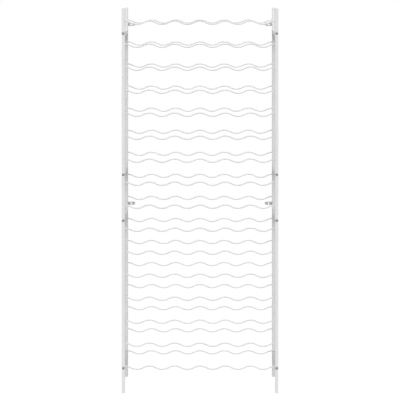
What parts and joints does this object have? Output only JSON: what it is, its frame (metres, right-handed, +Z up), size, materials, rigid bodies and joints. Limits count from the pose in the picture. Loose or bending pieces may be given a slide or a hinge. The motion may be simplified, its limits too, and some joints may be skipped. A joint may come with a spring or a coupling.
{
  "type": "fold-down drying rack",
  "caption": "Tall white wall-mounted rack of two upright wavy-wire grids joined by pivoting side arms; the front grid swings up and back to fold against the wall.",
  "frame": {"origin": "on the wall, in the middle of the four wall screw holes", "axes": "+X to the right seen from the room, +Y into the wall, +Z up; drawn open, with the arms on their stops"},
  "size_m": [0.6254, 0.198, 1.5738],
  "materials": {
    "white_powder_coat": "satin white powder coat with a fine orange peel",
    "zinc_plate": "matt grey zinc plating",
    "zinc_screw": "dull zinc plating on screws and rivets",
    "zinc_casting": "grey die-cast zinc",
    "bright_steel": "ground steel pin ends",
    "white_plastic": "matt white moulded plastic"
  },
  "bodies": {
    "back_frame": {"back_post_left": "white_powder_coat", "back_post_right": "white_powder_coat", "back_post_caps": "white_plastic", "back_lugs_left": "zinc_casting", "back_lugs_right": "zinc_casting", "back_pivot_pins": "bright_steel", "back_lug_screws": "zinc_screw", "tab_rivets": "zinc_screw", "wall_tab_top_left": "zinc_plate", "wall_tab_top_right": "zinc_plate", "wall_tab_middle_left": "zinc_plate", "wall_tab_middle_right": "zinc_plate", "back_wire_01": "white_powder_coat", "back_wire_02": "white_powder_coat", "back_wire_03": "white_powder_coat", "back_wire_04": "white_powder_coat", "back_wire_05": "white_powder_coat", "back_wire_06": "white_powder_coat", "back_wire_07": "white_powder_coat", "back_wire_08": "white_powder_coat", "back_wire_09": "white_powder_coat", "back_wire_10": "white_powder_coat", "back_wire_11": "white_powder_coat", "back_wire_12": "white_powder_coat", "back_wire_13": "white_powder_coat", "back_wire_14": "white_powder_coat", "back_wire_15": "white_powder_coat", "back_wire_16": "white_powder_coat"},
    "front_frame": {"front_post_left": "white_powder_coat", "front_post_right": "white_powder_coat", "front_post_caps": "white_plastic", "front_lugs_left": "zinc_casting", "front_lugs_right": "zinc_casting", "front_pivot_pins": "bright_steel", "front_lug_screws": "zinc_screw", "front_wire_01": "white_powder_coat", "front_wire_02": "white_powder_coat", "front_wire_03": "white_powder_coat", "front_wire_04": "white_powder_coat", "front_wire_05": "white_powder_coat", "front_wire_06": "white_powder_coat", "front_wire_07": "white_powder_coat", "front_wire_08": "white_powder_coat", "front_wire_09": "white_powder_coat", "front_wire_10": "white_powder_coat", "front_wire_11": "white_powder_coat", "front_wire_12": "white_powder_coat", "front_wire_13": "white_powder_coat", "front_wire_14": "white_powder_coat", "front_wire_15": "white_powder_coat", "front_wire_16": "white_powder_coat"},
    "arm_1_left": {"arm_1_left": "white_powder_coat"},
    "arm_2_left": {"arm_2_left": "white_powder_coat"},
    "arm_3_left": {"arm_3_left": "white_powder_coat"},
    "arm_4_left": {"arm_4_left": "white_powder_coat"},
    "arm_1_right": {"arm_1_right": "white_powder_coat"},
    "arm_2_right": {"arm_2_right": "white_powder_coat"},
    "arm_3_right": {"arm_3_right": "white_powder_coat"},
    "arm_4_right": {"arm_4_right": "white_powder_coat"}
  },
  "joints": [
    {"name": "fold", "type": "hinge", "parent": "back_frame", "child": "arm_3_left", "pos_m": [-0.30635, -0.0277, -0.4065], "axis": [-1, 0, 0], "range_deg": [0, 99]},
    {"name": "front_frame_level", "type": "hinge", "parent": "arm_3_left", "child": "front_frame", "pos_m": [-0.30635, -0.1713, -0.4423], "axis": [-1, 0, 0], "range_deg": [-99, 0]},
    {"name": "arm_1_left_turn", "type": "hinge", "parent": "back_frame", "child": "arm_1_left", "pos_m": [-0.30635, -0.0277, 0.3405], "axis": [-1, 0, 0], "range_deg": [0, 99]},
    {"name": "arm_2_left_turn", "type": "hinge", "parent": "back_frame", "child": "arm_2_left", "pos_m": [-0.30635, -0.0277, -0.2235], "axis": [-1, 0, 0], "range_deg": [0, 99]},
    {"name": "arm_4_left_turn", "type": "hinge", "parent": "back_frame", "child": "arm_4_left", "pos_m": [-0.30635, -0.0277, -0.9955], "axis": [-1, 0, 0], "range_deg": [0, 99]},
    {"name": "arm_1_right_turn", "type": "hinge", "parent": "back_frame", "child": "arm_1_right", "pos_m": [0.30635, -0.0277, 0.3405], "axis": [-1, 0, 0], "range_deg": [0, 99]},
    {"name": "arm_2_right_turn", "type": "hinge", "parent": "back_frame", "child": "arm_2_right", "pos_m": [0.30635, -0.0277, -0.2235], "axis": [-1, 0, 0], "range_deg": [0, 99]},
    {"name": "arm_3_right_turn", "type": "hinge", "parent": "back_frame", "child": "arm_3_right", "pos_m": [0.30635, -0.0277, -0.4065], "axis": [-1, 0, 0], "range_deg": [0, 99]},
    {"name": "arm_4_right_turn", "type": "hinge", "parent": "back_frame", "child": "arm_4_right", "pos_m": [0.30635, -0.0277, -0.9955], "axis": [-1, 0, 0], "range_deg": [0, 99]}
  ],
  "couplings": [
    {"joint": "front_frame_level", "follows": "fold", "ratio": -1},
    {"joint": "arm_1_left_turn", "follows": "fold", "ratio": 1},
    {"joint": "arm_2_left_turn", "follows": "fold", "ratio": 1},
    {"joint": "arm_4_left_turn", "follows": "fold", "ratio": 1},
    {"joint": "arm_1_right_turn", "follows": "fold", "ratio": 1},
    {"joint": "arm_2_right_turn", "follows": "fold", "ratio": 1},
    {"joint": "arm_3_right_turn", "follows": "fold", "ratio": 1},
    {"joint": "arm_4_right_turn", "follows": "fold", "ratio": 1}
  ]
}
